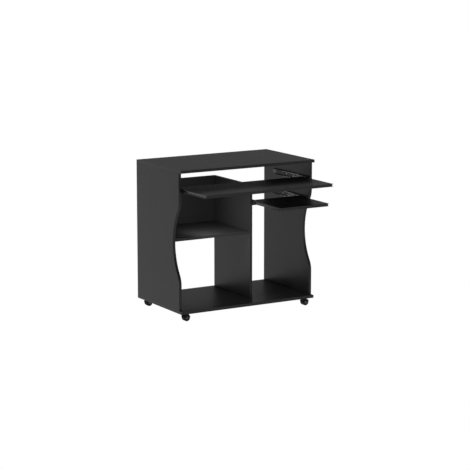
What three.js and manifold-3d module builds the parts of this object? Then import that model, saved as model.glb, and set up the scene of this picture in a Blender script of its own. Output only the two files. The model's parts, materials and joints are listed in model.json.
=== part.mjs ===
// Computer desk on casters, with a sliding keyboard tray and a sliding mouse tray.
// Millimetres, +Z up, +X to the sitter's right, -Y towards the sitter.
// The origin lies on the floor under the middle of the whole box with both trays pulled out.
import * as THREE from 'three';
import { mergeVertices } from 'three/addons/utils/BufferGeometryUtils.js';
import Module from 'manifold-3d';

const wasm = await Module();
wasm.setup();

// ---- Driving dimensions ----
const deskWidth = 800;
const deskDepth = 480;
const deskHeight = 780;
const board = 15;
const casterHeight = 40;
const clearance = 0.3;

const keyboardTrayReach = 208;        // how far the keyboard tray stands out past the desk top
const mouseTrayReach = 170;
const trayDepth = 296;
const keyboardTrayTop = 681;
const mouseTrayTop = 573.5;

const sideSetback = 24;               // side panels' front edge behind the desk top's
const innerSetback = 92;              // divider's and shelf's front edge behind the desk top's
const dividerLeft = 60;               // the divider's left face, from the desk's middle
const dividerTop = 662;
const shelfTop = 417.5;

const waistDepth = 64.5;              // how deep the side panels' front edges curve in
const waistHalfLength = 217;
const waistHeight = 402;              // height of the deepest point above the floor
const waistRadius = 300;
const arcSegments = 7;

// ---- Levels and faces worked out from them ----
const carcassY = keyboardTrayReach / 2;
const frontY = carcassY - deskDepth / 2;
const backY = carcassY + deskDepth / 2;
const halfWidth = deskWidth / 2;
const insideX = halfWidth - board;
const baseTop = casterHeight + board;
const topUnderside = deskHeight - board;
const sideFrontY = frontY + sideSetback;
const innerFrontY = frontY + innerSetback;
const innerBackY = backY - board;
const dividerRight = dividerLeft + board;

const finish = (color, roughness, metalness) =>
  new THREE.MeshStandardMaterial({ color, roughness, metalness });
const melamine = () => finish(0x1b1b1d, 0.4, 0);
const coatedSteel = () => finish(0x2b2c2e, 0.4, 0.6);
const brightSteel = () => finish(0xb9bcc0, 0.25, 1);
const blackPlastic = () => finish(0x141415, 0.45, 0);
const greyPlastic = () => finish(0x3a3b3d, 0.5, 0);

const desk = new THREE.Group();

function add(parent, name, geometry, material) {
  const mesh = new THREE.Mesh(geometry, material);
  mesh.name = name;
  parent.add(mesh);
  return mesh;
}

// ---- Solids for cutting and joining ----
function manifoldOf(geometry) {
  const bare = geometry.index ? geometry.toNonIndexed() : geometry.clone();
  bare.deleteAttribute('normal');
  bare.deleteAttribute('uv');
  const merged = mergeVertices(bare, 1e-4);
  return new wasm.Manifold(new wasm.Mesh({
    numProp: 3,
    vertProperties: new Float32Array(merged.attributes.position.array),
    triVerts: new Uint32Array(merged.index.array),
  }));
}

function geometryOf(solid) {
  const mesh = solid.getMesh();
  const geometry = new THREE.BufferGeometry();
  geometry.setAttribute('position', new THREE.BufferAttribute(mesh.vertProperties, 3));
  geometry.setIndex(new THREE.BufferAttribute(mesh.triVerts, 1));
  return geometry;
}

function boxGeometry(x, y, z) {
  const geometry = new THREE.BoxGeometry(x[1] - x[0], y[1] - y[0], z[1] - z[0]);
  geometry.translate((x[0] + x[1]) / 2, (y[0] + y[1]) / 2, (z[0] + z[1]) / 2);
  return geometry;
}

// A turned solid about +Z: the profile is a list of [radius, z] from the top down.
function turned(profile, segments) {
  const points = profile.map(([radius, z]) => new THREE.Vector2(radius, -z));
  const geometry = new THREE.LatheGeometry(points, segments);
  geometry.rotateX(-Math.PI / 2);
  return geometry;
}

// A cylinder along Y or Z, for bores.
function rod(axis, radius, length, segments) {
  const geometry = new THREE.CylinderGeometry(radius, radius, length, segments);
  if (axis === 'z') {
    geometry.rotateX(Math.PI / 2);
  }
  return geometry;
}

// ---- Screws that hold the base panel to the three uprights ----
const screwHeadRadius = 5;
const screwShankRadius = 3.3;
const screwThreadRadius = 2.6;
const screwSegments = 12;
const screwHeadZ = casterHeight + 0.2;
const screwNeckZ = casterHeight + 3.5;
const screwShankEndZ = baseTop + 1;
const screwTipZ = casterHeight + 50;
const screwPointLength = 3;
const screwFrontY = carcassY - 130;
const screwBackY = carcassY + 170;

// Without a clearance this is the screw, and with one it is the hole for it.
function screwGeometry(grow) {
  const profile = [
    [0, screwTipZ + grow],
    [screwThreadRadius + grow, screwTipZ - screwPointLength + grow],
    [screwThreadRadius + grow, screwShankEndZ + grow],
    [screwShankRadius + grow, screwShankEndZ + grow],
    [screwShankRadius + grow, screwNeckZ],
    [screwHeadRadius + grow, screwHeadZ],
  ];
  if (grow > 0) {
    const mouthZ = casterHeight - 1;
    profile.push([screwHeadRadius + grow, mouthZ], [0, mouthZ]);
  } else {
    profile.push([0, screwHeadZ]);
  }
  return turned(profile, screwSegments);
}

const uprightX = {
  left: -halfWidth + board / 2,
  divider: dividerLeft + board / 2,
  right: halfWidth - board / 2,
};
const screwPlaces = [];
for (const [upright, x] of Object.entries(uprightX)) {
  screwPlaces.push({ name: `${upright}_front_base_screw`, x, y: screwFrontY });
  screwPlaces.push({ name: `${upright}_back_base_screw`, x, y: screwBackY });
}

function drilledForScrews(geometry) {
  let solid = manifoldOf(geometry);
  for (const place of screwPlaces) {
    const hole = screwGeometry(clearance);
    hole.translate(place.x, place.y, 0);
    solid = solid.subtract(manifoldOf(hole));
  }
  return geometryOf(solid);
}

for (const place of screwPlaces) {
  add(desk, place.name, screwGeometry(0), brightSteel()).position.set(place.x, place.y, 0);
}

// ---- Boards ----
const fullX = [-halfWidth, halfWidth];
const fullY = [frontY, backY];

add(desk, 'top_panel', boxGeometry(fullX, fullY, [topUnderside, deskHeight]), melamine());
add(desk, 'base_panel',
  drilledForScrews(boxGeometry(fullX, fullY, [casterHeight, baseTop])), melamine());

// A side panel's outline in (Y, Z): its front edge has a long waist of three tangent arcs.
function sidePanelShape() {
  const sweep = 2 * Math.atan(waistDepth / waistHalfLength);
  const radii = waistHalfLength / Math.sin(sweep);
  const shoulderRadius = radii - waistRadius;
  const shape = new THREE.Shape();
  shape.moveTo(backY, baseTop);
  shape.lineTo(backY, topUnderside);
  shape.lineTo(sideFrontY, topUnderside);
  shape.absarc(sideFrontY + shoulderRadius, waistHeight + waistHalfLength,
    shoulderRadius, Math.PI, Math.PI + sweep, false);
  shape.absarc(sideFrontY + waistDepth - waistRadius, waistHeight,
    waistRadius, sweep, -sweep, true);
  shape.absarc(sideFrontY + shoulderRadius, waistHeight - waistHalfLength,
    shoulderRadius, Math.PI - sweep, Math.PI, false);
  shape.lineTo(sideFrontY, baseTop);
  shape.closePath();
  return shape;
}

function sidePanelGeometry(leftFaceX) {
  const geometry = new THREE.ExtrudeGeometry(sidePanelShape(), {
    depth: board,
    bevelEnabled: false,
    curveSegments: arcSegments,
  });
  const yzx = new THREE.Matrix4().makeBasis(
    new THREE.Vector3(0, 1, 0), new THREE.Vector3(0, 0, 1), new THREE.Vector3(1, 0, 0));
  geometry.applyMatrix4(yzx);
  geometry.translate(leftFaceX, 0, 0);
  return geometry;
}

add(desk, 'left_side_panel', drilledForScrews(sidePanelGeometry(-halfWidth)), melamine());
add(desk, 'right_side_panel', drilledForScrews(sidePanelGeometry(insideX)), melamine());

add(desk, 'divider_panel', drilledForScrews(boxGeometry(
  [dividerLeft, dividerRight], [innerFrontY, innerBackY], [baseTop, dividerTop])), melamine());
add(desk, 'fixed_shelf', boxGeometry(
  [-insideX, dividerLeft], [innerFrontY, innerBackY], [shelfTop - board, shelfTop]), melamine());
add(desk, 'upper_back_panel', boxGeometry(
  [-insideX, dividerRight], [innerBackY, backY], [shelfTop - board, dividerTop]), melamine());

// ---- Ball-bearing slides: outer, middle and inner rails with a ball cage in each gap ----
// A rail is a channel. Its section is given across the slide, from the wall (0) to the tray
// (slideWidth), and up and down from the slide's centre line.
const slideWidth = 12.5;
const railSheet = 1.1;
const cageSheet = 0.6;
const cageShortfall = 5;              // how much shorter a cage is than half its slide
const outerRail = { near: 0, far: 12, height: 30, opens: 'tray', sheet: railSheet };
const middleRail = { near: 2.8, far: 11, height: 22, opens: 'tray', sheet: railSheet };
const innerRail = { near: 5, far: slideWidth, height: 14.4, opens: 'wall', sheet: railSheet };
const outerCage = { near: 1.65, far: 10, height: 25.4, opens: 'tray', sheet: cageSheet };
const innerCage = { near: 4.1, far: 10.4, height: 17.6, opens: 'tray', sheet: cageSheet };

function channelShape({ near, far, height, opens, sheet }, wallX, towardsTray) {
  const half = height / 2;
  const openEdge = opens === 'tray' ? far : near;
  const webOutside = opens === 'tray' ? near : far;
  const webInside = opens === 'tray' ? near + sheet : far - sheet;
  const section = [
    [webOutside, -half], [openEdge, -half], [openEdge, -half + sheet],
    [webInside, -half + sheet], [webInside, half - sheet], [openEdge, half - sheet],
    [openEdge, half], [webOutside, half],
  ];
  return new THREE.Shape(section.map(([across, up]) =>
    new THREE.Vector2(wallX + towardsTray * across, up)));
}

// Extrudes a channel forwards (-Y) from its rear end.
function addChannel(name, section, place, rearY, length, material) {
  const shape = channelShape(section, place.wallX, place.towardsTray);
  const geometry = new THREE.ExtrudeGeometry(shape, { depth: length, bevelEnabled: false });
  geometry.rotateX(Math.PI / 2);
  add(desk, name, geometry, material).position.set(0, rearY, place.centreZ);
}

// A slide has two stages, each with half of its whole travel. The inner rail runs out first, to its
// stop on the middle rail, which then goes with it. Each ball cage stands half way between the two
// rails that it runs in. The inner rail reaches forwards to the tray's front edge.
function addSlide(name, place, { pulledOut, closedRearY, length, innerFrontEndY }) {
  const innerStage = Math.min(pulledOut, length / 2);
  const middleStage = pulledOut - innerStage;
  const cageLength = length / 2 - cageShortfall;
  const cageInset = (length - cageLength) / 2;
  const outerCageOut = cageInset + middleStage / 2;
  const innerCageOut = cageInset + middleStage + innerStage / 2;
  const innerLength = closedRearY - pulledOut - innerFrontEndY;
  const rails = [
    ['outer_rail', outerRail, 0, length, coatedSteel()],
    ['outer_ball_cage', outerCage, outerCageOut, cageLength, brightSteel()],
    ['middle_rail', middleRail, middleStage, length, coatedSteel()],
    ['inner_ball_cage', innerCage, innerCageOut, cageLength, brightSteel()],
    ['inner_rail', innerRail, pulledOut, innerLength, coatedSteel()],
  ];
  for (const [part, section, out, partLength, material] of rails) {
    addChannel(`${name}_${part}`, section, place, closedRearY - out, partLength, material);
  }
}

// ---- Trays, each between two slides ----
const trayClosedGap = 2;              // closed, a tray's front edge is this far behind the top's
const keyboardSlideLength = 350;
const mouseSlideLength = 300;
const keyboardSlideRearY = carcassY + 146;
const mouseSlideRearY = carcassY + 154;

function addTray({ name, leftWallX, rightWallX, topZ, reach, slideLength, slideRearY }) {
  const trayFrontY = frontY - reach;
  const x = [leftWallX + slideWidth, rightWallX - slideWidth];
  const y = [trayFrontY, trayFrontY + trayDepth];
  add(desk, `${name}_tray`, boxGeometry(x, y, [topZ - board, topZ]), melamine());
  const centreZ = topZ - board / 2;
  const pulledOut = reach + trayClosedGap;
  const left = { wallX: leftWallX, towardsTray: 1, centreZ };
  const right = { wallX: rightWallX, towardsTray: -1, centreZ };
  const slide = {
    pulledOut,
    closedRearY: slideRearY,
    length: slideLength,
    innerFrontEndY: trayFrontY,
  };
  addSlide(`${name}_left`, left, slide);
  addSlide(`${name}_right`, right, slide);
}

addTray({
  name: 'keyboard',
  leftWallX: -insideX,
  rightWallX: insideX,
  topZ: keyboardTrayTop,
  reach: keyboardTrayReach,
  slideLength: keyboardSlideLength,
  slideRearY: keyboardSlideRearY,
});
addTray({
  name: 'mouse',
  leftWallX: dividerRight,
  rightWallX: insideX,
  topZ: mouseTrayTop,
  reach: mouseTrayReach,
  slideLength: mouseSlideLength,
  slideRearY: mouseSlideRearY,
});

// ---- Twin-wheel swivel casters ----
const casterX = 350;
const frontCasterY = frontY + 28;
const backCasterY = backY - 44;
const plateSize = 38;
const plateThickness = 2.5;
const plateHoleRadius = 2.2;
const plateHoleOffset = 14;
const plateHoleSegments = 5;          // for each quarter turn
const kingpinRadius = 3.2;
const kingpinChamfer = 0.8;
const kingpinTipDrop = 4.2;           // how far the pin reaches below the plate
const kingpinSides = 16;
const wheelRadius = 17;
const wheelSides = 24;
const wheelInnerFace = 3.5;
const wheelOuterFace = 14.5;
const wheelInnerEdge = 1;             // the tread's chamfer next to the web
const wheelOuterEdge = 1.5;           // and on the outside
const rimWidth = 3.5;
const hubRadius = 6.5;
const discRecess = 1;                 // how far the disc lies in from the rim and the hub
const trail = 10;                     // the axle's distance from the swivel axis
const axleRadius = 2;
const axleHalfLength = 12;
const axleSides = 12;
const hoodThickness = 1.6;
const hoodSides = 32;
const hoodEdgeAboveAxle = 3;
const webHalfWidth = 3;
const webRadius = wheelRadius - 2;
const bossRadius = 8;
const bossChamfer = 1;
const bossBottomAboveAxle = 8;
const bossSides = 24;
const boreSides = 16;
const kingpinBoreDepth = 9;
const plateUnderside = casterHeight - plateThickness;
const hoodInnerRadius = wheelRadius + 0.9;
const hoodOuterRadius = hoodInnerRadius + hoodThickness;

function plateGeometry() {
  const half = plateSize / 2;
  const shape = new THREE.Shape();
  shape.moveTo(-half, -half);
  shape.lineTo(half, -half);
  shape.lineTo(half, half);
  shape.lineTo(-half, half);
  shape.closePath();
  const holes = [[0, 0, kingpinRadius + clearance]];
  for (const x of [-plateHoleOffset, plateHoleOffset]) {
    for (const y of [-plateHoleOffset, plateHoleOffset]) {
      holes.push([x, y, plateHoleRadius]);
    }
  }
  for (const [x, y, radius] of holes) {
    const hole = new THREE.Path();
    hole.absarc(x, y, radius, 0, 2 * Math.PI, true);
    shape.holes.push(hole);
  }
  return new THREE.ExtrudeGeometry(shape, {
    depth: plateThickness,
    bevelEnabled: false,
    curveSegments: plateHoleSegments,
  });
}

// Each wheel is turned about Y. Its flat facets are tangent to the rolling radius, and one of
// them lies on the floor.
function wheelGeometry() {
  const cornerRadius = wheelRadius / Math.cos(Math.PI / wheelSides);
  const rimRadius = cornerRadius - rimWidth;
  const discFace = wheelOuterFace - discRecess;
  const boreRadius = axleRadius + clearance;
  const boreEnd = axleHalfLength + clearance;
  const profile = [
    [0, boreEnd],
    [boreRadius, boreEnd],
    [boreRadius, wheelInnerFace],
    [cornerRadius - wheelInnerEdge, wheelInnerFace],
    [cornerRadius, wheelInnerFace + wheelInnerEdge],
    [cornerRadius, wheelOuterFace - wheelOuterEdge],
    [cornerRadius - wheelOuterEdge, wheelOuterFace],
    [rimRadius, wheelOuterFace],
    [rimRadius - discRecess / 2, discFace],
    [hubRadius, discFace],
    [hubRadius - discRecess, wheelOuterFace],
    [0, wheelOuterFace],
  ];
  const points = profile.map(([radius, y]) => new THREE.Vector2(radius, y));
  const geometry = new THREE.LatheGeometry(points, wheelSides);
  geometry.rotateY(Math.PI / wheelSides);
  return geometry;
}

// The hood: a web between the wheels, a curved cover over them and a boss for the kingpin.
function hoodGeometry() {
  const axleZ = wheelRadius;
  const bossTop = plateUnderside - clearance;
  const centred = (axis, radius, length, segments) => {
    const geometry = rod(axis, radius, length, segments);
    geometry.translate(trail, 0, axleZ);
    return manifoldOf(geometry);
  };
  const cover = centred('y', hoodOuterRadius, 2 * wheelOuterFace, hoodSides);
  const above = boxGeometry([-plateSize, plateSize], [-plateSize, plateSize],
    [axleZ + hoodEdgeAboveAxle, casterHeight]);
  const web = centred('y', webRadius, 2 * webHalfWidth, hoodSides);
  const bossBottom = axleZ + bossBottomAboveAxle;
  const boss = turned([
    [0, bossTop],
    [bossRadius - bossChamfer, bossTop],
    [bossRadius, bossTop - bossChamfer],
    [bossRadius, bossBottom],
    [0, bossBottom],
  ], bossSides);
  let hood = cover.intersect(manifoldOf(above)).add(manifoldOf(boss)).add(web);
  for (const side of [-1, 1]) {
    const wheelRoom = rod('y', hoodInnerRadius, 2 * wheelOuterFace, hoodSides);
    const offset = webHalfWidth + wheelOuterFace;
    wheelRoom.translate(trail, side * offset, axleZ);
    hood = hood.subtract(manifoldOf(wheelRoom));
  }
  const pinBore = rod('z', kingpinRadius + clearance, 2 * kingpinBoreDepth, boreSides);
  pinBore.translate(0, 0, bossTop);
  hood = hood.subtract(manifoldOf(pinBore));
  hood = hood.subtract(centred('y', axleRadius + clearance, 4 * webHalfWidth, boreSides));
  return geometryOf(hood);
}

function kingpinGeometry() {
  const top = casterHeight - clearance;
  const tip = plateUnderside - kingpinTipDrop;
  return turned([
    [0, top],
    [kingpinRadius, top],
    [kingpinRadius, tip + kingpinChamfer],
    [kingpinRadius - kingpinChamfer, tip],
    [0, tip],
  ], kingpinSides);
}

// Left casters trail to the left and right casters to the right.
function addCaster(name, x, y) {
  const caster = new THREE.Group();
  caster.position.set(x, y, 0);
  caster.rotation.z = x < 0 ? Math.PI : 0;
  desk.add(caster);
  add(caster, `${name}_plate`, plateGeometry(), coatedSteel()).position.z = plateUnderside;
  add(caster, `${name}_kingpin`, kingpinGeometry(), brightSteel());
  add(caster, `${name}_hood`, hoodGeometry(), blackPlastic());
  const axle = rod('y', axleRadius, 2 * axleHalfLength, axleSides);
  add(caster, `${name}_axle`, axle, brightSteel()).position.set(trail, 0, wheelRadius);
  const wheels = { front_wheel: x < 0 ? 0 : Math.PI, back_wheel: x < 0 ? Math.PI : 0 };
  for (const [wheel, turn] of Object.entries(wheels)) {
    const mesh = add(caster, `${name}_${wheel}`, wheelGeometry(), greyPlastic());
    mesh.position.set(trail, 0, wheelRadius);
    mesh.rotation.z = turn;
  }
}

addCaster('front_left_caster', -casterX, frontCasterY);
addCaster('front_right_caster', casterX, frontCasterY);
addCaster('back_left_caster', -casterX, backCasterY);
addCaster('back_right_caster', casterX, backCasterY);

export default desk;
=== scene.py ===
"""A black computer desk on casters, with its keyboard tray and its mouse tray pulled out.

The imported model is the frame: each piece takes its place from a CAD node's box and rides on that
node's body. Metres, +X to the sitter's right, -Y towards the sitter, +Z up.
"""
import json
import math

import bmesh
import bpy
from mathutils import Matrix, Vector


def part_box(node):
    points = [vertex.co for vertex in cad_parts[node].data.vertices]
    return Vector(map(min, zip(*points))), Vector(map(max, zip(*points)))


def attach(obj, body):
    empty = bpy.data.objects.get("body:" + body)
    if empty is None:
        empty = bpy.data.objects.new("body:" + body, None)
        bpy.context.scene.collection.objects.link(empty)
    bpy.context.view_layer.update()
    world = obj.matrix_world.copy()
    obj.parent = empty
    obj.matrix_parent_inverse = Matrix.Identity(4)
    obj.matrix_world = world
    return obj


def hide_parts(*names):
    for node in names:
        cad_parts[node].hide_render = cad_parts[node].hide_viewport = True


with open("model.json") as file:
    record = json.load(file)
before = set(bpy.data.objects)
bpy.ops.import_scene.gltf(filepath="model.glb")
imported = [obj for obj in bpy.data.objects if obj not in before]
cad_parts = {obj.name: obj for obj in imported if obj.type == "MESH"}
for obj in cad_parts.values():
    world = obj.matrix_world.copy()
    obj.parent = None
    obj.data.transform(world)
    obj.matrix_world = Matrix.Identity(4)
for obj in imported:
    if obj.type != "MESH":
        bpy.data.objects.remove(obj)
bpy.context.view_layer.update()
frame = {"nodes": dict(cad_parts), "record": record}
scene = bpy.context.scene

MM = 0.001
body_holding = {
    node: body for body, nodes in frame["record"]["behaviour"]["bodies"].items() for node in nodes
}


# ---- Materials ----
def feed(tree, value, socket):
    """Sets a socket to a number, a colour or another node's output."""
    if isinstance(value, bpy.types.NodeSocket):
        tree.links.new(value, socket)
    else:
        socket.default_value = value


def compute(tree, operation, *values):
    """The result of a new math node on numbers or other nodes' outputs."""
    node = tree.nodes.new("ShaderNodeMath")
    node.operation = operation
    for socket, value in zip(node.inputs, values):
        feed(tree, value, socket)
    return node.outputs[0]


class Shader:
    """A material with one Principled shader, and short calls to add the nodes behind it."""

    def __init__(self, name, specular=0.5, metallic=0.0):
        self.material = bpy.data.materials.new(name)
        self.material.use_nodes = True
        self.tree = self.material.node_tree
        self.surface = self.tree.nodes["Principled BSDF"]
        self.surface.inputs["Specular IOR Level"].default_value = specular
        self.surface.inputs["Metallic"].default_value = metallic
        self.place = self.tree.nodes.new("ShaderNodeTexCoord")

    def add(self, kind, **inputs):
        """A new shader node of that kind, with those of its inputs set or linked."""
        node = self.tree.nodes.new("ShaderNode" + kind)
        for name, value in inputs.items():
            feed(self.tree, value, node.inputs[name])
        return node

    def math(self, operation, *values):
        return compute(self.tree, operation, *values)

    def noise(self, size, detail=2.0, stretch=(1, 1, 1)):
        """Smooth noise from 0 to 1 whose lumps are about that size, in metres."""
        place = self.add("Mapping", Vector=self.place.outputs["Object"], Scale=stretch)
        node = self.add("TexNoise", Vector=place.outputs[0], Scale=1 / size, Detail=detail)
        return node.outputs["Fac"]

    def between(self, share, low, high):
        """A number that goes from low to high as share goes from 0 to 1."""
        node = self.add("MapRange", Value=share)
        node.inputs["To Min"].default_value = low
        node.inputs["To Max"].default_value = high
        return node.outputs["Result"]

    def mix(self, share, first, second):
        """A colour between two, each an (r, g, b) or another node's output."""
        node = self.tree.nodes.new("ShaderNodeMix")
        node.data_type = "RGBA"
        feed(self.tree, share, node.inputs["Factor"])
        for socket, colour in zip((node.inputs[6], node.inputs[7]), (first, second)):
            value = colour if isinstance(colour, bpy.types.NodeSocket) else (*colour, 1)
            feed(self.tree, value, socket)
        return node.outputs[2]

    def finish(self, colour, roughness, height, depth):
        """Links the surface's colour, roughness and relief, whose depth is in metres."""
        bump = self.add("Bump", Height=height, Distance=depth)
        feed(self.tree, colour, self.surface.inputs["Base Color"])
        feed(self.tree, roughness, self.surface.inputs["Roughness"])
        feed(self.tree, bump.outputs["Normal"], self.surface.inputs["Normal"])
        return self.material


BOARD_GLOSS = 0.175
BOARD_DARK = (0.008, 0.008, 0.0083)
BOARD_LIGHT = (0.0115, 0.0115, 0.0119)
BOARD_ROUGHNESS = (0.34, 0.38)
EDGE_BAND = (0.012, 0.012, 0.0125)
EDGE_BAND_ROUGHNESS_CHANGE = -0.04
EDGE_BELOW = 0.5        # the part of the normal along the thickness, under which it is an edge
RUBBED_RIM = (0.03, 0.03, 0.031)
CLOUD_SIZE = 120 * MM
SMEAR_SIZE = 50 * MM
PEARL_SIZE = 0.9 * MM
PEARL_DEPTH = 0.03 * MM


def melamine(axis):
    """Black melamine on a board whose thickness is along that axis, with an edge band.

    The faces have a fine pearl relief. The edge band is plain plastic, a shade lighter, and the
    rounded rim between the two is rubbed a little paler.
    """
    shader = Shader(f"black_melamine_{axis}", specular=BOARD_GLOSS)
    split = shader.add("SeparateXYZ", Vector=shader.place.outputs["Normal"])
    facing = shader.math("ABSOLUTE", split.outputs[axis.upper()])
    on_edge = shader.math("LESS_THAN", facing, EDGE_BELOW)
    rim = shader.math("MULTIPLY", facing, shader.math("SUBTRACT", 1.0, facing))
    pearl = shader.noise(PEARL_SIZE, detail=3.0)
    face = shader.mix(shader.noise(CLOUD_SIZE), BOARD_DARK, BOARD_LIGHT)
    board = shader.mix(on_edge, face, EDGE_BAND)
    colour = shader.mix(rim, board, RUBBED_RIM)
    smears = shader.between(shader.noise(SMEAR_SIZE, detail=4.0), *BOARD_ROUGHNESS)
    change = shader.math("MULTIPLY", on_edge, EDGE_BAND_ROUGHNESS_CHANGE)
    roughness = shader.math("ADD", smears, change)
    relief = shader.math("MULTIPLY", pearl, shader.math("SUBTRACT", 1.0, on_edge))
    return shader.finish(colour, roughness, relief, PEARL_DEPTH)


COAT_LINES = 1.2 * MM
COAT_STRETCH = (1, 0.04, 1)
COAT_ROUGHNESS = (0.24, 0.36)
PEEL_SIZE = 0.5 * MM
PEEL_DEPTH = 0.01 * MM


def coated_steel(name, specular, dark, light):
    """Electro-coated sheet steel: satin, with the faint orange peel of a thin coat."""
    shader = Shader(name, specular=specular)
    drawn = shader.noise(COAT_LINES, stretch=COAT_STRETCH)
    colour = shader.mix(drawn, dark, light)
    roughness = shader.between(drawn, *COAT_ROUGHNESS)
    return shader.finish(colour, roughness, shader.noise(PEEL_SIZE), PEEL_DEPTH)


ZINC_DARK = (0.5, 0.5, 0.51)
ZINC_LIGHT = (0.62, 0.62, 0.64)
ZINC_ROUGHNESS = (0.22, 0.4)
ZINC_PATCHES = 4 * MM
GRAIN_SIZE = 0.4 * MM
GRAIN_STRETCH = (1, 0.1, 1)
GRAIN_DEPTH = 0.005 * MM


def bright_steel():
    """Zinc-plated steel with a fine drawn grain."""
    shader = Shader("bright_steel", metallic=1.0)
    grain = shader.noise(GRAIN_SIZE, stretch=GRAIN_STRETCH)
    colour = shader.mix(shader.noise(ZINC_PATCHES), ZINC_DARK, ZINC_LIGHT)
    roughness = shader.between(grain, *ZINC_ROUGHNESS)
    return shader.finish(colour, roughness, grain, GRAIN_DEPTH)


MOTTLE_SIZE = 6 * MM
GLOSS_PATCHES = 2 * MM
TEXTURE_SIZE = 0.35 * MM
TEXTURE_DEPTH = 0.02 * MM


def moulded_plastic(name, specular, dark, light, roughness):
    """Moulded nylon with a fine spark-eroded texture and slightly uneven gloss."""
    shader = Shader(name, specular=specular)
    colour = shader.mix(shader.noise(MOTTLE_SIZE), dark, light)
    gloss = shader.between(shader.noise(GLOSS_PATCHES, detail=3.0), *roughness)
    return shader.finish(colour, gloss, shader.noise(TEXTURE_SIZE), TEXTURE_DEPTH)


FINISHES = {
    "boards_across_x": melamine("x"),
    "boards_across_y": melamine("y"),
    "boards_across_z": melamine("z"),
    "coated_steel": coated_steel(
        "coated_steel", specular=0.4,
        dark=(0.02, 0.02, 0.021), light=(0.03, 0.03, 0.032)),
    # A darker, less glossy copy of the coated steel, for the middle rails: painted shade for their
    # place deep inside each slide.
    "shade_painted_steel": coated_steel(
        "shade_painted_steel", specular=0.12,
        dark=(0.006, 0.006, 0.006), light=(0.01, 0.01, 0.01)),
    "bright_steel": bright_steel(),
    "black_plastic": moulded_plastic(
        "black_plastic", specular=0.12, roughness=(0.35, 0.5),
        dark=(0.003, 0.003, 0.003), light=(0.005, 0.005, 0.005)),
    "grey_plastic": moulded_plastic(
        "grey_plastic", specular=0.4, roughness=(0.3, 0.42),
        dark=(0.014, 0.014, 0.0145), light=(0.022, 0.022, 0.0225)),
    "wheel_plastic": moulded_plastic(
        "wheel_plastic", specular=0.07, roughness=(0.32, 0.48),
        dark=(0.002, 0.002, 0.0021), light=(0.004, 0.004, 0.0042)),
}


# ---- Building pieces ----
SMOOTH_BELOW = math.radians(35)
MERGE_DISTANCE = 0.001 * MM
WELD_DISTANCE = 0.005 * MM      # for the CAD nodes, whose faces don't share their corners


def thing(name, bm):
    """A new object from a bmesh, which it uses up, with its doubled points merged."""
    bmesh.ops.remove_doubles(bm, verts=bm.verts, dist=MERGE_DISTANCE)
    bmesh.ops.recalc_face_normals(bm, faces=bm.faces)
    mesh = bpy.data.meshes.new(name)
    bm.to_mesh(mesh)
    bm.free()
    piece = bpy.data.objects.new(name, mesh)
    scene.collection.objects.link(piece)
    return piece


def modify(piece, kind, **settings):
    """Adds a modifier with those settings."""
    modifier = piece.modifiers.new(kind.lower(), kind)
    for name, value in settings.items():
        setattr(modifier, name, value)


def settle(piece):
    """Applies the piece's modifiers, then smooths all but its sharp edges."""
    evaluated = piece.evaluated_get(bpy.context.evaluated_depsgraph_get())
    mesh = bpy.data.meshes.new_from_object(evaluated)
    piece.modifiers.clear()
    piece.data = mesh
    mesh.shade_smooth()
    mesh.set_sharp_from_angle(angle=SMOOTH_BELOW)


def carve(piece, operation, tools):
    """Joins the tools to the piece or cuts them from it, and removes them."""
    for tool in tools:
        modify(piece, "BOOLEAN", operation=operation, solver="EXACT", object=tool)
        settle(piece)
        bpy.data.objects.remove(tool)
    return piece


def round_edges(piece, width, segments=3, angle=50):
    """Rounds the edges and keeps the large faces flat. It leaves the piece's own mesh alone."""
    modify(piece, "WELD", merge_threshold=WELD_DISTANCE)
    modify(piece, "BEVEL", width=width, segments=segments, limit_method="ANGLE",
           angle_limit=math.radians(angle), use_clamp_overlap=True)
    modify(piece, "WEIGHTED_NORMAL", mode="FACE_AREA", weight=100)


def finish_piece(piece, node, finish, stands_for=()):
    """Gives the piece its finish, puts it on the body of a CAD node, and hides the CAD nodes that it
    replaces.
    """
    piece.data.materials.clear()
    piece.data.materials.append(FINISHES[finish])
    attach(piece, body_holding[node])
    if stands_for:
        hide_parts(*stands_for)


def refinish_node(node, finish):
    """Keeps a CAD node, and changes only its material."""
    piece = frame["nodes"][node]
    if not piece.material_slots:
        raise RuntimeError(f"{node} has no material slot")
    for held in piece.material_slots:
        held.link = "OBJECT"
        held.material = FINISHES[finish]
    return piece


def lathe(profile, segments):
    """A closed turned solid about +Z, from a profile of (radius, height) with its ends on the axis."""
    bm = bmesh.new()
    rings = []
    for radius, height in profile:
        count = segments if radius > 0 else 1
        turns = [2 * math.pi * i / segments for i in range(count)]
        rings.append([
            bm.verts.new((radius * math.cos(t), radius * math.sin(t), height)) for t in turns])
    for lower, upper in zip(rings, rings[1:]):
        for i in range(segments):
            j = (i + 1) % segments
            corners = [lower[i % len(lower)], lower[j % len(lower)],
                       upper[j % len(upper)], upper[i % len(upper)]]
            bm.faces.new(list(dict.fromkeys(corners)))
    return bm


def turned(name, profile, segments=72):
    """A turned solid along +Z from a profile in mm."""
    piece = thing(name, lathe([(radius * MM, height * MM) for radius, height in profile], segments))
    piece.data.shade_smooth()
    return piece


def disc(name, radius, half, segments=64):
    """A plain disc about +Z, from -half to half."""
    return thing(name, lathe([(0, -half), (radius, -half), (radius, half), (0, half)], segments))


def prism(outline, low, high):
    """A closed solid from an outline of (first, second) pairs, between two heights along +Z."""
    bm = bmesh.new()
    bottom = [bm.verts.new((u, v, low)) for u, v in outline]
    top = [bm.verts.new((u, v, high)) for u, v in outline]
    bm.faces.new(bottom)
    bm.faces.new(top)
    for i, start in enumerate(bottom):
        j = (i + 1) % len(bottom)
        bm.faces.new([start, bottom[j], top[j], top[i]])
    return bm


def arc(centre, radius, start, end, steps):
    """Points on a circle, from one angle to another, both ends included."""
    turns = [start + (end - start) * i / steps for i in range(steps + 1)]
    return [(centre[0] + radius * math.cos(t), centre[1] + radius * math.sin(t)) for t in turns]


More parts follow.
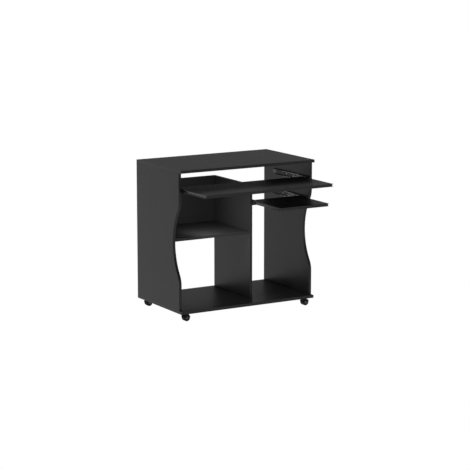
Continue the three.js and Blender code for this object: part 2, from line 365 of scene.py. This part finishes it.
def scatter(name, master, places):
    """One object with a copy of the master's mesh at each matrix."""
    bm = bmesh.new()
    for matrix in places:
        copy = master.data.copy()
        copy.transform(matrix)
        bm.from_mesh(copy)
        bpy.data.meshes.remove(copy)
    piece = thing(name, bm)
    piece.data.shade_smooth()
    piece.data.set_sharp_from_angle(angle=SMOOTH_BELOW)
    return piece


# Turns a solid made along +Z so that it runs along +X, and its (u, v) become (y, z).
Z_TO_X = Matrix(((0, 0, 1), (1, 0, 0), (0, 1, 0))).to_4x4()
HEAD_DOWN = Matrix.Rotation(math.pi, 4, "X")


# ---- Boards ----
RIM_ROUNDING = 0.7 * MM
# The axis that each board's thickness is along.
BOARD_AXES = {
    "top_panel": "z",
    "base_panel": "z",
    "fixed_shelf": "z",
    "keyboard_tray": "z",
    "mouse_tray": "z",
    "divider_panel": "x",
    "upper_back_panel": "y",
}
WAIST_DEPTH = 64.5 * MM
WAIST_HALF_LENGTH = 217 * MM
WAIST_HEIGHT = 402 * MM
WAIST_RADIUS = 300 * MM
WAIST_STEPS = 24


def side_panel_outline(low, high):
    """The panel's outline in (y, z): three tangent arcs make the long waist in its front edge."""
    sweep = 2 * math.atan(WAIST_DEPTH / WAIST_HALF_LENGTH)
    shoulder = WAIST_HALF_LENGTH / math.sin(sweep) - WAIST_RADIUS
    front = low.y
    waist_centre = (front + WAIST_DEPTH - WAIST_RADIUS, WAIST_HEIGHT)
    upper_centre = (front + shoulder, WAIST_HEIGHT + WAIST_HALF_LENGTH)
    lower_centre = (front + shoulder, WAIST_HEIGHT - WAIST_HALF_LENGTH)
    outline = [(high.y, low.z), (high.y, high.z), (front, high.z)]
    outline += arc(upper_centre, shoulder, math.pi, math.pi + sweep, WAIST_STEPS)
    outline += arc(waist_centre, WAIST_RADIUS, sweep, -sweep, 2 * WAIST_STEPS)[1:-1]
    outline += arc(lower_centre, shoulder, math.pi - sweep, math.pi, WAIST_STEPS)
    outline.append((front, low.z))
    return outline


def build_boards():
    """Rounds the straight boards, and rebuilds the two side panels with a smooth waist."""
    for node, axis in BOARD_AXES.items():
        round_edges(refinish_node(node, f"boards_across_{axis}"), RIM_ROUNDING)
    for side in ("left", "right"):
        node = f"{side}_side_panel"
        low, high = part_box(node)
        bm = prism(side_panel_outline(low, high), low.x, high.x)
        bm.transform(Z_TO_X)
        panel = thing(f"{node}_curved", bm)
        panel.data.shade_smooth()
        round_edges(panel, RIM_ROUNDING)
        finish_piece(panel, node, "boards_across_x", [node])


# ---- Ball-bearing slides ----
# A member's section: its web and the free edges of its flanges, from the wall; half its height;
# its sheet; and a rail's ball races, each (place from the wall, how far it bulges out), or the
# radius of a cage's balls and where they stand, from the wall and up or down from the middle.
OUTER_RACE = 5.7 * MM
INNER_RACE = 9.2 * MM
RACE_REACH = 2.3 * MM
BEND = 1.3 * MM
BEND_STEPS = 4
FLANGE_STEPS = 14
RAIL_SHEET = 1.1 * MM
CAGE_SHEET = 0.6 * MM
MEMBERS = {
    "outer_rail": {
        "web": 0.55 * MM, "tip": 11.6 * MM, "half": 15 * MM, "sheet": RAIL_SHEET,
        "races": [(OUTER_RACE, 0.7 * MM)]},
    "middle_rail": {
        "web": 3.35 * MM, "tip": 10.9 * MM, "half": 11 * MM, "sheet": RAIL_SHEET,
        "races": [(OUTER_RACE, -0.45 * MM)]},
    "inner_rail": {
        "web": 11.95 * MM, "tip": 5.1 * MM, "half": 7.2 * MM, "sheet": RAIL_SHEET,
        "races": [(INNER_RACE, -0.35 * MM)]},
    "outer_ball_cage": {
        "web": 1.95 * MM, "tip": 9.9 * MM, "half": 12.7 * MM, "sheet": CAGE_SHEET,
        "ball": 1.3 * MM, "ball_across": OUTER_RACE, "ball_up": 12.45 * MM},
    "inner_ball_cage": {
        "web": 4.4 * MM, "tip": 10.3 * MM, "half": 8.8 * MM, "sheet": CAGE_SHEET,
        "ball": 1.15 * MM, "ball_across": INNER_RACE - 0.9 * MM, "ball_up": 8.55 * MM},
}
BALL_SPACING = 8 * MM
HOLE_RADIUS = 2.3 * MM
SLOT_HALF = 3 * MM
BAND_MARGIN = 1.2 * MM
END_TO_HOLE = 28 * MM
HOLE_GAPS = 4                   # one fewer than the holes along a rail
QUARTER_STEPS = 6               # in each quarter of a hole's rim
CAGE_BAND = 4 * MM
POCKET_MARGIN = 0.5 * MM
POCKET_CLEARANCE = 0.08 * MM


def race_bulge(across, races):
    """How far the flange stands out at this place, over its ball races."""
    total = 0.0
    for place, depth in races:
        share = abs(across - place) / RACE_REACH
        if share < 1:
            total += depth * (1 + math.cos(math.pi * share)) / 2
    return total


def channel_line(member, band):
    """The middle of a channel's sheet, from one free edge round to the other, as (across, up).

    The web has a line at band over and under its middle, so that holes can be cut between them.
    """
    races = member.get("races", [])
    level = member["half"] - member["sheet"] / 2 - max([0.0] + [d for _, d in races])
    web, tip = member["web"], member["tip"]
    way = 1 if tip > web else -1
    flange = []
    for i in range(BEND_STEPS + 1):
        turn = math.pi / 2 * i / BEND_STEPS
        flange.append((web + way * BEND * (1 - math.cos(turn)),
                       level - BEND * (1 - math.sin(turn))))
    start = web + way * BEND
    if "ball" in member:
        pocket = member["ball"] + POCKET_MARGIN
        stops = [member["ball_across"] - pocket, member["ball_across"] + pocket, tip]
    else:
        stops = [start + (tip - start) * (i + 1) / FLANGE_STEPS for i in range(FLANGE_STEPS)]
    flange += [(across, level + race_bulge(across, races)) for across in stops]
    lower = [(across, -up) for across, up in reversed(flange)]
    return lower + [(web, -band), (web, band)] + flange


def hole_outline(radius, half):
    """A slot's outline in four runs, one for each side of the cell that it is cut in.

    A point at the top or bottom of the rim, where the cosine is about 0, ends one half circle and
    starts the other.
    """
    nothing = 1e-6
    runs = []
    for side in range(4):
        run = []
        for step in range(QUARTER_STEPS + 1):
            turn = math.radians(45 + 90 * (side + step / QUARTER_STEPS))
            ends = []
            if math.cos(turn) > -nothing:
                ends.append(half)
            if math.cos(turn) < nothing:
                ends.append(-half)
            if math.sin(turn) < 0:
                ends.reverse()
            for end in ends:
                run.append((end + radius * math.cos(turn), radius * math.sin(turn)))
        runs.append(run)
    return runs


def sheet_surface(line, stations, holes, place):
    """A sheet surface over a section line and stations along the slide.

    holes maps a cell (section step, station step) to a (radius, half straight length).
    """
    bm = bmesh.new()
    grid = [[bm.verts.new(place(across, up, y)) for y in stations] for across, up in line]
    for k in range(len(line) - 1):
        for j in range(len(stations) - 1):
            corners = [grid[k][j], grid[k][j + 1], grid[k + 1][j + 1], grid[k + 1][j]]
            if (k, j) not in holes:
                bm.faces.new(corners)
                continue
            points = [corner.co.copy() for corner in corners]
            middle = sum(points, Vector()) / 4
            along = (points[1] - points[0]).normalized()
            over = (points[3] - points[0]).normalized()
            # The cell's corners at 45, 135, 225 and 315 degrees round the hole.
            diagonal = [corners[2], corners[3], corners[0], corners[1]]
            for side, run in enumerate(hole_outline(*holes[(k, j)])):
                rim = [bm.verts.new(middle + along * u + over * v) for u, v in run]
                bm.faces.new([diagonal[side], *rim, diagonal[(side + 1) % 4]])
    return bm


def hole_stations(low, high, centres, half_cell):
    """Stations along the slide with a cell round each centre, and the index of each such cell."""
    stations, cells = [low], []
    for centre in centres:
        cells.append(len(stations))
        stations += [centre - half_cell, centre + half_cell]
    return stations + [high], cells


def rail_holes(low, high):
    """Places of the fixing holes along a rail: near both ends and between."""
    first, last = low + END_TO_HOLE, high - END_TO_HOLE
    return [first + (last - first) * i / HOLE_GAPS for i in range(HOLE_GAPS + 1)]


def thicken(surface, sheet):
    """Gives a sheet surface its thickness, half to each side."""
    modify(surface, "SOLIDIFY", thickness=sheet, offset=0, use_even_offset=True,
           use_quality_normals=True)
    settle(surface)


def slide_place(slide):
    """How a slide's own (across from the wall, up, y) stands in the frame."""
    low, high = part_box(f"{slide}_outer_rail")
    middle = (low.z + high.z) / 2
    wall, way = (low.x, 1) if "_left" in slide else (high.x, -1)
    return lambda across, up, y: (wall + way * across, y, middle + up)


def build_rail(slide, part, place):
    """A rolled rail, with round fixing holes and slots by turns along its web."""
    node = f"{slide}_{part}"
    member = MEMBERS[part]
    low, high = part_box(node)
    band = HOLE_RADIUS + BAND_MARGIN
    line = channel_line(member, band)
    centres = rail_holes(low.y, high.y)
    half_cell = HOLE_RADIUS + SLOT_HALF + BAND_MARGIN
    stations, cells = hole_stations(low.y, high.y, centres, half_cell)
    web_step = len(line) // 2 - 1           # between the web's two lines at band
    holes = {}
    for i, cell in enumerate(cells):
        holes[(web_step, cell)] = (HOLE_RADIUS, SLOT_HALF if i % 2 else 0.0)
    rail = thing(f"{node}_rolled", sheet_surface(line, stations, holes, place))
    thicken(rail, member["sheet"])
    # The middle rail takes the darker copy of the coated steel, which is painted shade.
    finish = "shade_painted_steel" if part == "middle_rail" else "coated_steel"
    finish_piece(rail, node, finish, [node])


def build_cage(slide, part, place):
    """A ball cage with a row of pockets in each flange, and its two rows of balls."""
    node = f"{slide}_{part}"
    member = MEMBERS[part]
    low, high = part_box(node)
    line = channel_line(member, CAGE_BAND)
    count = int((high.y - low.y) / BALL_SPACING)
    first = (low.y + high.y - (count - 1) * BALL_SPACING) / 2
    centres = [first + BALL_SPACING * i for i in range(count)]
    pocket = member["ball"] + POCKET_MARGIN
    stations, cells = hole_stations(low.y, high.y, centres, pocket)
    lower_step, upper_step = 1, len(line) - 3       # the cells of the pockets in the two flanges
    holes = {}
    for cell in cells:
        for step in (lower_step, upper_step):
            holes[(step, cell)] = (member["ball"] + POCKET_CLEARANCE, 0.0)
    cage = thing(f"{node}_pressed", sheet_surface(line, stations, holes, place))
    thicken(cage, member["sheet"])
    finish_piece(cage, node, "bright_steel", [node])

    bm = bmesh.new()
    for y in centres:
        for up in (-member["ball_up"], member["ball_up"]):
            at = Matrix.Translation(place(member["ball_across"], up, y))
            bmesh.ops.create_icosphere(bm, subdivisions=2, radius=member["ball"], matrix=at)
    balls = thing(f"{node}_balls", bm)
    balls.data.shade_smooth()
    finish_piece(balls, node, "bright_steel")


SCREW_SEGMENTS = 24
CROSS_HALF_LENGTH = 1.6 * MM
CROSS_HALF_WIDTH = 0.3 * MM
CROSS_TOP = 4 * MM              # clear of every head
# Profiles of screws that stand head up on their seat at zero, in mm as (radius, height).
SLIDE_SCREW_PROFILE = [
    (0, 0.35), (2.2, 0.35), (3.1, 0.15), (3.2, 0), (1.9, -0.05), (1.9, -1.1), (0, -1.1),
]
SLIDE_SCREW_RECESS = -0.5 * MM
PLATE_SCREW_PROFILE = [
    (0, 0.7), (1.4, 0.66), (2.5, 0.45), (3.3, 0.03), (1.9, 0.03), (1.9, -2.3), (0, -2.3),
]
PLATE_SCREW_RECESS = -0.4 * MM


def cross_screw(name, profile, recess):
    """A turned screw along +Z, with a cross recess cut down to that height in its head."""
    blades = []
    for turn in (0, math.pi / 2):
        blade = prism([
            (-CROSS_HALF_LENGTH, -CROSS_HALF_WIDTH), (CROSS_HALF_LENGTH, -CROSS_HALF_WIDTH),
            (CROSS_HALF_LENGTH, CROSS_HALF_WIDTH), (-CROSS_HALF_LENGTH, CROSS_HALF_WIDTH),
        ], recess, CROSS_TOP)
        blade.transform(Matrix.Rotation(turn, 4, "Z"))
        blades.append(thing("cross", blade))
    return carve(turned(name, profile, SCREW_SEGMENTS), "DIFFERENCE", blades)


def build_slide_screws(slide, part, place, master):
    """Screws in every other hole of the web: their heads are on the side of the other rails."""
    node = f"{slide}_{part}"
    low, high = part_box(node)
    outer = part == "outer_rail"
    seat = MEMBERS[part]["web"] + RAIL_SHEET / 2 * (1 if outer else -1)
    heads_right = outer == ("_left" in slide)
    turn = Z_TO_X if heads_right else Z_TO_X @ HEAD_DOWN
    places = [Matrix.Translation(place(seat, 0, y)) @ turn for y in rail_holes(low.y, high.y)[::2]]
    screws = scatter(f"{node}_screws", master, places)
    finish_piece(screws, node, "coated_steel")


def build_slides():
    master = cross_screw("slide_screw", SLIDE_SCREW_PROFILE, SLIDE_SCREW_RECESS)
    for tray in ("keyboard", "mouse"):
        for side in ("left", "right"):
            slide = f"{tray}_{side}"
            place = slide_place(slide)
            for part in ("outer_rail", "middle_rail", "inner_rail"):
                build_rail(slide, part, place)
            for part in ("outer_ball_cage", "inner_ball_cage"):
                build_cage(slide, part, place)
            for part in ("outer_rail", "inner_rail"):
                build_slide_screws(slide, part, place, master)
    bpy.data.objects.remove(master)


# ---- Casters ----
WHEEL_RADIUS = 17 * MM
WHEEL_OUTER_FACE = 14.5 * MM
WEB_HALF = 3 * MM
WEB_RADIUS = 15 * MM
WEB_ALLOWANCE = 0.25 * MM       # cut away again with the room for the wheels
AXLE_BORE = 2.3 * MM
HOOD_INNER_RADIUS = 17.9 * MM
HOOD_OUTER_RADIUS = 19.5 * MM
HOOD_EDGE_ABOVE_AXLE = 3 * MM
HOOD_STEPS = 40
ROOM_SEGMENTS = 84              # finer than the web, so that no two faces are in one plane
BORE_SEGMENTS = 32
BOSS_SEGMENTS = 48
TRAIL = 10 * MM
WHEEL_ROUNDING = 0.25 * MM
HOOD_ROUNDING = 0.35 * MM
PLATE_ROUNDING = 0.3 * MM
PLATE_SCREW_OFFSET = 14 * MM
# Profiles along the axle, in mm as (radius, distance from the caster's middle plane).
WHEEL_PROFILE = [
    (0, 12.3), (2.3, 12.3), (2.3, 3.5), (5.5, 3.5), (5.5, 4.3), (14.4, 4.3), (14.4, 3.5),
    (16.2, 3.5), (16.8, 4.4), (17, 6), (17, 12), (16.8, 13.4), (16.2, 14.1), (15.3, 14.5),
    (13.9, 14.5), (13.5, 13.6), (11.2, 13.2), (7.9, 13.3), (7.9, 12.9), (0, 12.9),
]
HUB_CAP_PROFILE = [
    (0, 12.93), (7.8, 12.93), (7.8, 13.5), (7.3, 14.05), (4.8, 14.4), (2.4, 14.5), (0, 14.5),
]
# Profiles up the swivel axis, in mm as (radius, height over the floor).
BOSS_PROFILE = [(0, 25), (8, 25), (8, 36.4), (7.4, 37.2), (0, 37.2)]
PIN_BORE_PROFILE = [(0, 28.2), (3.5, 28.2), (3.5, 45), (0, 45)]


def hood_solid():
    """The hood about its swivel axis, with its axle along Y: a cover, a web and a boss."""
    lift = math.asin(HOOD_EDGE_ABOVE_AXLE / HOOD_OUTER_RADIUS)
    outline = arc((0, 0), HOOD_OUTER_RADIUS, lift, math.pi - lift, HOOD_STEPS)
    hood = thing("hood", prism(outline, -WHEEL_OUTER_FACE, WHEEL_OUTER_FACE))
    web = disc("web", WEB_RADIUS, WEB_HALF + WEB_ALLOWANCE)
    rooms = [
        disc("wheel_room", HOOD_INNER_RADIUS, WHEEL_OUTER_FACE, ROOM_SEGMENTS) for _ in range(2)]
    axle_bore = disc("axle_bore", AXLE_BORE, WHEEL_OUTER_FACE, BORE_SEGMENTS)
    lie = Matrix.Translation((TRAIL, 0, WHEEL_RADIUS)) @ Matrix.Rotation(math.pi / 2, 4, "X")
    for piece in (hood, web, axle_bore):
        piece.data.transform(lie)
    for room, side in zip(rooms, (-1, 1)):
        aside = Matrix.Translation((0, side * (WEB_HALF + WHEEL_OUTER_FACE), 0))
        room.data.transform(aside @ lie)
    pin_bore = turned("pin_bore", PIN_BORE_PROFILE, BORE_SEGMENTS)
    carve(hood, "UNION", [web, turned("boss", BOSS_PROFILE, BOSS_SEGMENTS)])
    return carve(hood, "DIFFERENCE", [*rooms, axle_bore, pin_bore])


def build_hood(caster, middle, master):
    """The moulded hood, which trails outwards from its swivel axis."""
    node = f"{caster}_hood"
    turn = Matrix.Rotation(math.pi, 4, "Z") if "_left" in caster else Matrix.Identity(4)
    hood = scatter(f"{node}_moulded", master, [Matrix.Translation(middle) @ turn])
    round_edges(hood, HOOD_ROUNDING, segments=2, angle=40)
    finish_piece(hood, node, "black_plastic", [node])


def build_wheels(caster, middle, wheel_master, cap_master):
    """The two wheels and their hub caps, which face outwards from the caster's middle plane."""
    for wheel, outward in (("front_wheel", -1), ("back_wheel", 1)):
        node = f"{caster}_{wheel}"
        low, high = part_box(node)
        place = Matrix.Translation(((low.x + high.x) / 2, middle.y, WHEEL_RADIUS))
        stand = place @ Matrix.Rotation(-outward * math.pi / 2, 4, "X")
        tread = scatter(f"{node}_turned", wheel_master, [stand])
        round_edges(tread, WHEEL_ROUNDING, segments=2, angle=30)
        finish_piece(tread, node, "wheel_plastic", [node])
        cap = scatter(f"{node}_hub_cap", cap_master, [stand])
        finish_piece(cap, node, "grey_plastic")


def build_plate(caster, middle, screw_master):
    """The mounting plate, and the four screws whose heads stand out under it."""
    node = f"{caster}_plate"
    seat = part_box(node)[0].z
    seats = [
        Matrix.Translation(middle + Vector((across, along, seat))) @ HEAD_DOWN
        for across in (-PLATE_SCREW_OFFSET, PLATE_SCREW_OFFSET)
        for along in (-PLATE_SCREW_OFFSET, PLATE_SCREW_OFFSET)]
    screws = scatter(f"{node}_screws", screw_master, seats)
    finish_piece(screws, node, "bright_steel")
    round_edges(refinish_node(node, "coated_steel"), PLATE_ROUNDING, segments=2)


def build_casters():
    wheel_master = turned("wheel", WHEEL_PROFILE)
    cap_master = turned("hub_cap", HUB_CAP_PROFILE)
    screw_master = cross_screw("plate_screw", PLATE_SCREW_PROFILE, PLATE_SCREW_RECESS)
    hood_master = hood_solid()
    for row in ("front", "back"):
        for side in ("left", "right"):
            caster = f"{row}_{side}_caster"
            low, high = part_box(f"{caster}_plate")
            middle = Vector(((low.x + high.x) / 2, (low.y + high.y) / 2, 0))
            build_hood(caster, middle, hood_master)
            build_wheels(caster, middle, wheel_master, cap_master)
            build_plate(caster, middle, screw_master)
            refinish_node(f"{caster}_kingpin", "bright_steel")
            refinish_node(f"{caster}_axle", "bright_steel")
    for master in (wheel_master, cap_master, screw_master, hood_master):
        bpy.data.objects.remove(master)


# ---- Base screws ----
BASE_SCREW_SEGMENTS = 32
SOCKET_RADIUS = 2.3 * MM
SOCKET_START = -1 * MM          # clear of the head's face
SOCKET_FLOOR = 2.6 * MM
# (radius, height over the head's face) of a connecting screw with a countersunk head, in mm.
BASE_SCREW_PROFILE = [
    (0, 0), (4.5, 0), (4.8, 0.25), (4.8, 0.6), (3.2, 3.3), (3.2, 15.8), (2.3, 16.2), (2.3, 46.5),
    (0.4, 49.6), (0, 49.6),
]


def base_screw():
    """A connecting screw, head down, with a hexagonal socket in its head."""
    screw = turned("base_screw", BASE_SCREW_PROFILE, BASE_SCREW_SEGMENTS)
    corners = arc((0, 0), SOCKET_RADIUS, 0, math.radians(300), 5)       # 60 degrees apart
    socket = thing("socket", prism(corners, SOCKET_START, SOCKET_FLOOR))
    return carve(screw, "DIFFERENCE", [socket])


def build_base_screws():
    master = base_screw()
    for upright in ("left", "divider", "right"):
        for row in ("front", "back"):
            node = f"{upright}_{row}_base_screw"
            low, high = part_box(node)
            seat = Matrix.Translation(((low.x + high.x) / 2, (low.y + high.y) / 2, low.z))
            screw = scatter(f"{node}_turned", master, [seat])
            finish_piece(screw, node, "bright_steel", [node])
    bpy.data.objects.remove(master)


build_boards()
build_slides()
build_casters()
build_base_screws()


# ---- Camera ----
CAMERA_AIM = Vector((0.0397, 0.0738, 0.3792))
CAMERA_AZIMUTH = math.radians(-30.65)
CAMERA_ELEVATION = math.radians(10.49)
CAMERA_DISTANCE = 9.3054
CAMERA_LENS = 135.21            # like the sensor's width, in mm
CAMERA_SENSOR = 36
CAMERA_REACH = 1000


def add_camera():
    """The photo's own view: the camera looks at its aim from that azimuth and elevation."""
    data = bpy.data.cameras.new("camera")
    data.lens = CAMERA_LENS
    data.sensor_width = CAMERA_SENSOR
    data.clip_end = CAMERA_REACH
    camera = bpy.data.objects.new("camera", data)
    scene.collection.objects.link(camera)
    level = math.cos(CAMERA_ELEVATION)
    back = Vector((math.sin(CAMERA_AZIMUTH) * level, -math.cos(CAMERA_AZIMUTH) * level,
                   math.sin(CAMERA_ELEVATION)))
    camera.location = CAMERA_AIM + back * CAMERA_DISTANCE
    camera.rotation_euler = (-back).to_track_quat("-Z", "Y").to_euler()
    scene.camera = camera


# ---- Studio ----
FLOOR_HALF = 200.0
FLOOR_GLOW = 1.0
BLACK = (0, 0, 0, 1)
WHITE = (1, 1, 1, 1)
# What lights the desk above the floor: (from, to) in degrees of elevation, the side that it is on
# (1 behind the desk, -1 in front of it) and its radiance.
SKY = {
    "rear_softbox": ((30, 50), 1, 1.9),
    "rear_ceiling": ((50, 90), 1, 0.45),
    "rear_horizon": ((8, 16), 1, 0.32),
    "front_horizon": ((0, 8), -1, 1.5),
    "front_fill": ((8, 16), -1, 0.8),
    "front_ceiling": ((16, 90), -1, 0.15),
}


def add_floor():
    """A plain white floor that glows evenly, as a lit studio sweep does, and takes no shadow."""
    bm = bmesh.new()
    bmesh.ops.create_grid(bm, x_segments=1, y_segments=1, size=FLOOR_HALF)
    floor = thing("floor", bm)
    shader = Shader("white_floor", specular=0.0)
    shader.surface.inputs["Base Color"].default_value = BLACK
    shader.surface.inputs["Emission Color"].default_value = WHITE
    shader.surface.inputs["Emission Strength"].default_value = FLOOR_GLOW
    floor.data.materials.append(shader.material)


def add_sky():
    """The studio round the desk: plain white to the camera, and soft bands of light to the desk."""
    world = bpy.data.worlds.new("studio")
    world.use_nodes = True
    tree = world.node_tree
    nodes = tree.nodes
    way = nodes.new("ShaderNodeSeparateXYZ")
    feed(tree, nodes.new("ShaderNodeTexCoord").outputs["Generated"], way.inputs[0])
    behind = compute(tree, "GREATER_THAN", way.outputs["Y"], 0.0)
    before = compute(tree, "SUBTRACT", 1.0, behind)
    total = 0.0
    for (low, high), side, radiance in SKY.values():
        above = compute(tree, "GREATER_THAN", way.outputs["Z"], math.sin(math.radians(low)))
        below = compute(tree, "LESS_THAN", way.outputs["Z"], math.sin(math.radians(high)))
        band = compute(tree, "MULTIPLY", above, below)
        half = compute(tree, "MULTIPLY", band, behind if side > 0 else before)
        total = compute(tree, "MULTIPLY_ADD", half, radiance, total)

    around = nodes["Background"]
    around.inputs["Color"].default_value = WHITE
    feed(tree, total, around.inputs["Strength"])
    backdrop = nodes.new("ShaderNodeBackground")
    backdrop.inputs["Color"].default_value = WHITE
    seen = nodes.new("ShaderNodeLightPath")
    choice = nodes.new("ShaderNodeMixShader")
    feed(tree, seen.outputs["Is Camera Ray"], choice.inputs["Fac"])
    feed(tree, around.outputs[0], choice.inputs[1])
    feed(tree, backdrop.outputs[0], choice.inputs[2])
    feed(tree, choice.outputs[0], nodes["World Output"].inputs["Surface"])
    scene.world = world


FILL_PLACE = Vector((130, -20, 160)) * MM       # from the shelf's left front upper corner
FILL_AIM = Vector((0, 60, 0)) * MM              # from its right front upper corner
FILL_WIDTH = 250 * MM
FILL_HEIGHT = 40 * MM
FILL_SPREAD = math.radians(150)
FILL_POWER = 2.7


def add_shelf_fill():
    """A soft light under the keyboard tray, which lights the compartment over the shelf.

    It casts no glints, so that it doesn't show in the glossy faces round it.
    """
    shelf_low, shelf_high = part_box("fixed_shelf")
    place = Vector((shelf_low.x, shelf_low.y, shelf_high.z)) + FILL_PLACE
    aim = Vector((shelf_high.x, shelf_low.y, shelf_high.z)) + FILL_AIM
    data = bpy.data.lights.new("shelf_fill", "AREA")
    data.shape = "RECTANGLE"
    data.size = FILL_WIDTH
    data.size_y = FILL_HEIGHT
    data.spread = FILL_SPREAD
    data.energy = FILL_POWER
    light = bpy.data.objects.new("shelf_fill", data)
    scene.collection.objects.link(light)
    light.location = place
    light.rotation_euler = (aim - place).to_track_quat("-Z", "Y").to_euler()
    light.visible_camera = False
    light.visible_glossy = False


add_camera()
add_floor()
add_sky()
add_shelf_fill()
scene.view_settings.view_transform = "Standard"
